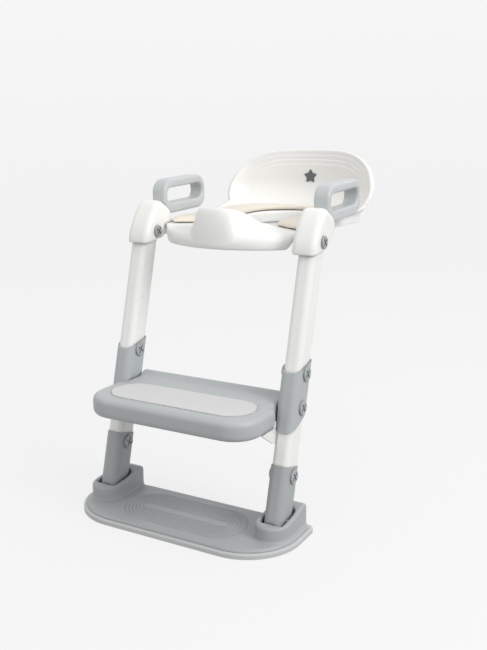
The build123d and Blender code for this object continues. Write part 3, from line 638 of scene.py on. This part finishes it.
def make_backrest():
    contour = back_contour()
    inward = edge_inward(contour)
    rounding = {0.0: 2.8, 0.5: 1.25, 1.4: 0.4}

    def row(inset, outside, sink=0.0):
        places = []
        for (run, z), way in zip(contour, inward):
            scale = min(max((z - BACK_FOOT) / 62.0, 0.12), 1.0)
            run = run + way[0] * inset * scale
            z = z + way[1] * inset * scale
            z = mix(z, BACK_FOOT, sink)
            rear = lift(wall_line(run, 0)[1]) * min(max((500 - z) / 57, 0.0), 1.0)
            if outside:
                grow = outer_offset(z - rear) - rounding.get(inset, 0.0) * min(scale * 1.5, 1.0)
            else:
                grow = inner_offset(z - rear) + back_terrace(inset, z)
                grow += rounding.get(inset, 0.0) * min(scale * 1.5, 1.0)
            places.append((*wall_line(run, grow), z))
        return places

    face = [0.5, 1.4, 2.8, 5.0, 7.5]
    for offset in STEP_OFFSETS:
        face += [offset + aside for aside in (-1.3, -0.7, 0.0, 0.7, 1.3, 3.2)]
    face = sorted(inset for inset in face if inset < DEEPEST_ROW) + [DEEPEST_ROW]
    sinks = 14
    rows = [row(DEEPEST_ROW, True, share / sinks) for share in range(sinks, 0, -1)]
    rows += [row(inset, True) for inset in (DEEPEST_ROW, 20.0, 12.0, 6.0, 2.8, 1.4, 0.5)]
    edge_out = row(0.0, True)
    edge_in = row(0.0, False)
    edge_pairs = zip(edge_out, edge_in)
    rows.append([tuple(mix(a, b, 0.5) for a, b in zip(first, second)) for first, second in edge_pairs])
    rows += [row(inset, False) for inset in face]
    rows += [row(DEEPEST_ROW, False, share / sinks) for share in range(1, sinks + 1)]
    mesh = bmesh.new()
    grid = [[point(mesh, place) for place in places] for places in rows]
    for low, high in zip(grid, grid[1:] + grid[:1]):
        for index in range(len(low) - 1):
            mesh.faces.new((low[index], low[index + 1], high[index + 1], high[index]))
    for side in (0, -1):
        mesh.faces.new([places[side] for places in grid])
    bmesh.ops.triangulate(mesh, faces=[f for f in mesh.faces if len(f.verts) > 4])
    finish_piece(mesh, "backrest_moulding", WHITE, "seat", ("backrest",))


# ---- cushion ------------------------------------------------------------------------------
CUSHION_LIP = 5.4
CUSHION_FRONT = 60.0      # the pad's arms end at this angle from straight ahead
CUSHION_CAP = 1.6         # the filling may push the skin out by this much


def cushion_section(spoke, full):
    """Closed section of the pad; full is 0 at the very tip of an arm and 1 along it."""
    place, way, turn = spoke
    width = reach(place, way)
    outer = width - mix(6.0, 0.0, smoothstep(62, 90, turn))
    base = DECK_TOP + 0.5
    high = mix(2.5, 9.0, full)
    near = mix(CUSHION_LIP + 3, CUSHION_LIP, full)
    far = mix(outer - 4, outer, full)
    middle = (near + far) / 2
    near_half = mix(near, middle, 0.5)
    far_half = mix(middle, far, 0.5)
    outline = [(near + 1.6, 0), (near_half, 0), (middle, 0), (far_half, 0), (far - 3.5, 0)]
    outline += [(far - 1.4, high * 0.25), (far + 0.6, high * 0.65), (far + 0.4, high * 0.94)]
    outline += [(far - 2.4, high), (far_half, high * 0.99), (middle, high * 0.97), (near_half, high * 0.95)]
    outline += [(near + 3.0, high * 0.92), (near + 0.8, high * 0.75), (near, high * 0.45)]
    outline.append((near + 0.2, high * 0.12))
    section = []
    for distance, height in outline:
        x = place[0] + way[0] * distance
        y = place[1] + way[1] * distance
        section.append((x, y, base + height + lift(y)))
    return section


def puff(piece, pressure, cap, voxel):
    """Inflate a pad with a short cloth simulation and keep the result in its mesh."""
    remesh = piece.modifiers.new("skin", "REMESH")
    remesh.mode = "VOXEL"
    remesh.voxel_size = voxel * MM
    graph = bpy.context.evaluated_depsgraph_get()
    piece.data = bpy.data.meshes.new_from_object(piece.evaluated_get(graph))
    piece.modifiers.clear()
    relax(piece.data, 2, everywhere)
    rest = np.empty(len(piece.data.vertices) * 3)
    piece.data.vertices.foreach_get("co", rest)
    rest = rest.reshape(-1, 3)
    cloth = piece.modifiers.new("filling", "CLOTH")
    cloth.settings.use_pressure = True
    cloth.settings.uniform_pressure_force = pressure
    cloth.settings.effector_weights.gravity = 0.0
    cloth.settings.quality = 5
    scene = bpy.context.scene
    for frame_number in range(1, 21):
        scene.frame_set(frame_number)
    graph = bpy.context.evaluated_depsgraph_get()
    blown = bpy.data.meshes.new_from_object(piece.evaluated_get(graph))
    moved = np.empty(len(blown.vertices) * 3)
    blown.vertices.foreach_get("co", moved)
    shift = moved.reshape(-1, 3) - rest
    length = np.maximum(np.linalg.norm(shift, axis=1), 1e-9)
    shift *= (np.minimum(length, cap * MM) / length)[:, None]
    shift[:, 2] = np.maximum(shift[:, 2], 0.0)
    blown.vertices.foreach_set("co", (rest + shift).ravel())
    piece.modifiers.clear()
    piece.data = blown
    scene.frame_set(1)
    relax(piece.data, 1, everywhere)


def make_cushion():
    spokes = [spoke for spoke in seat_spokes() if spoke[2] >= CUSHION_FRONT]
    right = []
    for spoke in spokes:
        full = math.sqrt(min((spoke[2] - CUSHION_FRONT) / 7.0 + 0.02, 1.0))
        right.append(cushion_section(spoke, full))
    right[-1] = [(0.0, y, z) for x, y, z in right[-1]]
    left = [[(-x, y, z) for x, y, z in section] for section in reversed(right[:-1])]
    mesh = loft(right + left, closed=False)
    count = len(right[0])
    mesh.verts.ensure_lookup_table()
    mesh.faces.new(mesh.verts[:count])
    mesh.faces.new(mesh.verts[-count:])
    bmesh.ops.triangulate(mesh, faces=[f for f in mesh.faces if len(f.verts) > 4])
    pad = finish_piece(mesh, "cushion_pad", FOAM, "seat")
    puff(pad, 4.0, CUSHION_CAP, 2.6)
    rounding = pad.modifiers.new("rounding", "SUBSURF")
    rounding.levels = 1
    rounding.render_levels = 1
    pad.data.materials.clear()
    pad.data.materials.append(FOAM)
    pad.data.polygons.foreach_set("use_smooth", [True] * len(pad.data.polygons))
    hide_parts("seat_cushion")


make_seat_shell()
make_backrest()
make_cushion()
for side in ("left", "right"):
    soften(["ear_cap_" + side, "ear_inner_" + side], 1.1, 14, WHITE, "seat")
press_ridges(soften(["base_deck"], 1.15, 16, BASE, "base", near_collars))
soften(["step_tread"], 1.4, 12, STEP, "ladder")


# ---- studio -------------------------------------------------------------------------------
def floor_material():
    """Pale paper that glows a little, so that shadows on it stay faint."""
    material, tree, shader = new_material("studio_paper")
    place = object_position(tree)
    tone = blend_colours(tree, noise(tree, place, 2.0), (0.160, 0.160, 0.160), (0.165, 0.165, 0.165))
    tree.links.new(tone, shader.inputs["Base Color"])
    shader.inputs["Emission Color"].default_value = (1.0, 1.0, 1.0, 1.0)
    split = add(tree, "ShaderNodeSeparateXYZ")
    tree.links.new(place, split.inputs[0])
    glow = add(tree, "ShaderNodeMapRange")
    glow.inputs["From Min"].default_value = 0.0
    glow.inputs["From Max"].default_value = 3.0
    glow.inputs["To Min"].default_value = 0.762
    glow.inputs["To Max"].default_value = 0.868
    tree.links.new(split.outputs["Z"], glow.inputs["Value"])
    tree.links.new(glow.outputs["Result"], shader.inputs["Emission Strength"])
    shader.inputs["Roughness"].default_value = 0.9
    shader.inputs["Specular IOR Level"].default_value = 0.0
    return material


def make_floor():
    """Round paper bowl: a flat floor that curves up well beyond the object on every side."""
    mesh = bmesh.new()
    radius = 3.0
    flat = 3.5
    spokes = 72
    profile = [(flat, 0.0)]
    for step in range(1, 17):
        angle = step / 16 * math.pi / 2
        profile.append((flat + radius * math.sin(angle), radius * (1 - math.cos(angle))))
    profile.append((flat + radius, 8.0))
    turns = [2 * math.pi * spoke / spokes for spoke in range(spokes)]
    below = 0.0005
    rows = []
    for out, z in profile:
        places = [(out * math.cos(turn), out * math.sin(turn), z - below) for turn in turns]
        rows.append([mesh.verts.new(place) for place in places])
    mesh.faces.new(rows[0])
    for low, high in zip(rows, rows[1:]):
        for index in range(spokes):
            after = (index + 1) % spokes
            mesh.faces.new((low[index], low[after], high[after], high[index]))
    data = bpy.data.meshes.new("studio_sweep")
    mesh.to_mesh(data)
    mesh.free()
    for polygon in data.polygons:
        polygon.use_smooth = len(polygon.vertices) == 4
    floor = bpy.data.objects.new("studio_sweep", data)
    bpy.context.scene.collection.objects.link(floor)
    data.materials.append(floor_material())
    floor.visible_diffuse = False


def area_light(name, place, target, size, power):
    light = bpy.data.lights.new(name, "AREA")
    light.shape = "DISK"
    light.size = size
    light.energy = power
    lamp = bpy.data.objects.new(name, light)
    lamp.location = place
    lamp.rotation_euler = (Vector(target) - Vector(place)).to_track_quat("-Z", "Y").to_euler()
    bpy.context.scene.collection.objects.link(lamp)


def soft_sky(tree, above, below):
    """Air that is brighter overhead than underfoot."""
    place = add(tree, "ShaderNodeTexCoord").outputs["Generated"]
    split = add(tree, "ShaderNodeSeparateXYZ")
    tree.links.new(place, split.inputs[0])
    ramp = add(tree, "ShaderNodeMapRange")
    ramp.interpolation_type = "SMOOTHSTEP"
    ramp.inputs["From Min"].default_value = -0.6
    ramp.inputs["From Max"].default_value = 0.8
    ramp.inputs["To Min"].default_value = below
    ramp.inputs["To Max"].default_value = above
    tree.links.new(split.outputs["Z"], ramp.inputs["Value"])
    return ramp.outputs["Result"]


def make_studio():
    world = bpy.data.worlds.new("studio_air")
    world.use_nodes = True
    tree = world.node_tree
    air = tree.nodes["Background"]
    air.inputs["Color"].default_value = (1.0, 1.0, 1.0, 1)
    tree.links.new(soft_sky(tree, 0.78, 0.38), air.inputs["Strength"])
    bpy.context.scene.world = world
    middle = (0.0, 0.0, 0.3)
    area_light("key", (2.3, -0.5, 1.9), middle, 1.2, 31.0)
    area_light("top", (0.5, -0.2, 2.8), middle, 1.6, 8.0)
    bpy.context.scene.view_settings.view_transform = "Standard"
    make_floor()


def make_camera():
    """Lens and place of the reference view: low, from the chair's front right."""
    data = bpy.data.cameras.new("camera")
    data.lens = 47.02
    data.sensor_width = 36.0
    camera = bpy.data.objects.new("camera", data)
    camera.location = (0.6693, -1.2049, 0.5895)
    camera.rotation_euler = (math.radians(90 - 12.89), 0, math.radians(29.15))
    bpy.context.scene.collection.objects.link(camera)
    bpy.context.scene.camera = camera


make_studio()
make_camera()
